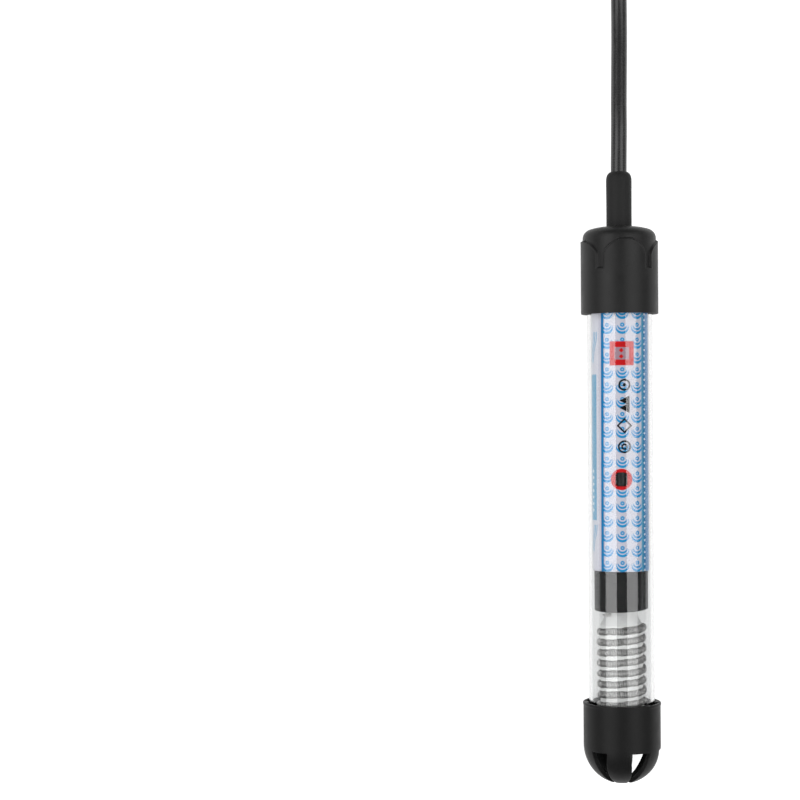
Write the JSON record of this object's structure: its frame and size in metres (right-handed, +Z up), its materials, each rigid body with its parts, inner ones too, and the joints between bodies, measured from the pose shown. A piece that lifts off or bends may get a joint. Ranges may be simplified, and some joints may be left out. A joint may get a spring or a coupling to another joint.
{
  "type": "submersible aquarium heater",
  "caption": "Slim glass-tube immersion heater with a black end cap and cord boot, a slotted push-on bottom guard, a printed inner sleeve, a coil element and a mains cord.",
  "frame": {"origin": "centre of the heater's box on the surface it lies on, under the middle of the body from guard to cord boot", "axes": "+Y along the tube from the bottom guard to the cord boot, +Z up through the printed front of the label"},
  "size_m": [0.0406, 0.5436, 0.028],
  "materials": {
    "clear_glass": "clear polished tube",
    "black_plastic": "satin moulded black",
    "black_rubber": "soft satin black",
    "seal_rubber": "silicone",
    "label_film": "printed film",
    "shield_fibre": "matte black fibre",
    "mica": "pressed mica board",
    "ceramic": "unglazed white ceramic",
    "glass_wool": "fibrous",
    "nichrome": "grey resistance wire",
    "steel": "plain steel",
    "brass": "plain brass",
    "silver_contact": "silver alloy",
    "ferrite": "sintered dark grey",
    "phenolic_board": "brown laminate",
    "lamp_glass": "small neon lamp",
    "fuse_body": "drawn can",
    "capacitor_case": "moulded blue case",
    "resistor_body": "lacquered",
    "brown_sleeve": "wire insulation",
    "blue_sleeve": "wire insulation"
  },
  "bodies": {
    "heater": {"glass_tube": "clear_glass", "top_cap": "black_plastic", "cord_boot": "black_rubber", "cord_inner_end": "black_rubber", "cord_clamp": "steel", "inner_stopper": "black_rubber", "seal_ring_upper": "seal_rubber", "seal_ring_lower": "seal_rubber", "label_sleeve": "label_film", "heat_shield_sleeve": "shield_fibre", "shield_disc_lower": "mica", "shield_disc_upper": "mica", "glass_wool_pad": "glass_wool", "ceramic_former": "ceramic", "heating_coil": "nichrome", "coil_crimp": "steel", "coil_return_lead": "nichrome", "spacer_lower": "mica", "spacer_upper": "mica", "thermostat_board": "phenolic_board", "bimetal_post": "brass", "snap_magnet": "ferrite", "blade_post": "brass", "screw_bracket": "brass", "bracket_leg_left": "brass", "bracket_leg_right": "brass", "indicator_lamp": "lamp_glass", "lamp_resistor": "resistor_body", "suppression_capacitor": "capacitor_case", "thermal_fuse": "fuse_body", "terminal_live": "brass", "terminal_neutral": "brass", "live_wire": "brown_sleeve", "neutral_wire": "blue_sleeve", "fuse_lead": "steel", "element_wire": "brown_sleeve", "power_cord": "black_rubber", "cord_hank": "black_rubber", "cord_tail": "black_rubber", "cord_tie": "black_plastic", "plug_body": "black_rubber", "plug_boot": "black_rubber", "plug_pin_left": "brass", "plug_pin_right": "brass"},
    "guard": {"bottom_guard": "black_plastic"},
    "bimetal": {"bimetal_strip": "steel", "moving_contact": "silver_contact", "magnet_keeper": "steel"},
    "blade": {"contact_blade": "brass", "fixed_contact": "silver_contact"},
    "setting_screw": {"calibration_screw": "brass"}
  },
  "joints": [
    {"name": "guard_pull_off", "type": "slide", "parent": "heater", "child": "guard", "axis": [0, -1, 0], "range_m": [0, 0.035]},
    {"name": "bimetal_bend", "type": "hinge", "parent": "heater", "child": "bimetal", "pos_m": [0, 0.04666, 0.015], "axis": [-1, 0, 0], "range_deg": [0, 2.5], "stiffness_Nm_per_rad": 0.02},
    {"name": "screw_turn", "type": "hinge", "parent": "heater", "child": "setting_screw", "pos_m": [0, 0.01266, 0.014], "axis": [0, 0, -1], "range_deg": [-180, 180]},
    {"name": "blade_bend", "type": "hinge", "parent": "heater", "child": "blade", "pos_m": [0, 0.00766, 0.0131], "axis": [-1, 0, 0], "range_deg": [-0.8, 0.8]}
  ],
  "couplings": [
    {"joint": "blade_bend", "follows": "screw_turn", "ratio": 0.004}
  ]
}
